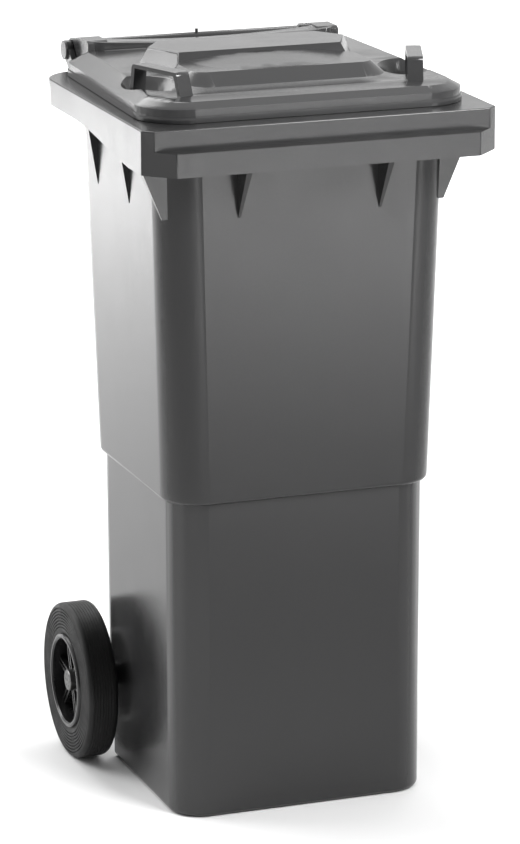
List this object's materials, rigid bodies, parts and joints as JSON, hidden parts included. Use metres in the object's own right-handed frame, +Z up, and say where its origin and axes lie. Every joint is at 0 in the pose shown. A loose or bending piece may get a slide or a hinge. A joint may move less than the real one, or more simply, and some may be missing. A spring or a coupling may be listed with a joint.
{
  "type": "two-wheeled household wheelie bin",
  "caption": "Tall grey two-wheeled plastic bin with a hinged lid, strap lid handles, a rear grab bar and rubber-tyred wheels on a steel axle.",
  "frame": {"origin": "centre of the bounding box at floor level", "axes": "+Z up, +Y to the rear where the wheels and the grab bar are, +X to the bin's other side from a viewer's left to right when facing the front"},
  "size_m": [0.448, 0.495, 0.9325],
  "materials": {
    "body_plastic": "moulded, fine grain with a soft sheen",
    "lid_plastic": "moulded, fine grain with a soft sheen",
    "pin_plastic": "moulded satin",
    "bush_plastic": "moulded satin",
    "wheel_plastic": "moulded satin",
    "tyre_rubber": "matte solid rubber",
    "stop_rubber": "matte",
    "axle_steel": "zinc plated",
    "cap_steel": "zinc plated"
  },
  "bodies": {
    "bin": {"bin_body": "body_plastic", "axle": "axle_steel", "hinge_pin_left": "pin_plastic", "hinge_pin_right": "pin_plastic", "axle_spacer_left": "wheel_plastic", "axle_spacer_right": "wheel_plastic", "axle_cap_left": "cap_steel", "axle_cap_right": "cap_steel"},
    "lid": {"lid": "lid_plastic", "lid_buffers": "stop_rubber", "hinge_bush_left": "bush_plastic", "hinge_bush_right": "bush_plastic"},
    "wheel_left": {"wheel_hub_left": "wheel_plastic", "wheel_bush_left": "bush_plastic", "tyre_left": "tyre_rubber"},
    "wheel_right": {"wheel_hub_right": "wheel_plastic", "wheel_bush_right": "bush_plastic", "tyre_right": "tyre_rubber"}
  },
  "joints": [
    {"name": "lid_hinge", "type": "hinge", "parent": "bin", "child": "lid", "pos_m": [0, 0.2325, 0.899], "axis": [-1, 0, 0], "range_deg": [0, 270]},
    {"name": "wheel_left_spin", "type": "hinge", "parent": "bin", "child": "wheel_left", "pos_m": [-0.194, 0.124, 0.1], "axis": [1, 0, 0], "continuous": true},
    {"name": "wheel_right_spin", "type": "hinge", "parent": "bin", "child": "wheel_right", "pos_m": [0.194, 0.124, 0.1], "axis": [1, 0, 0], "continuous": true}
  ]
}
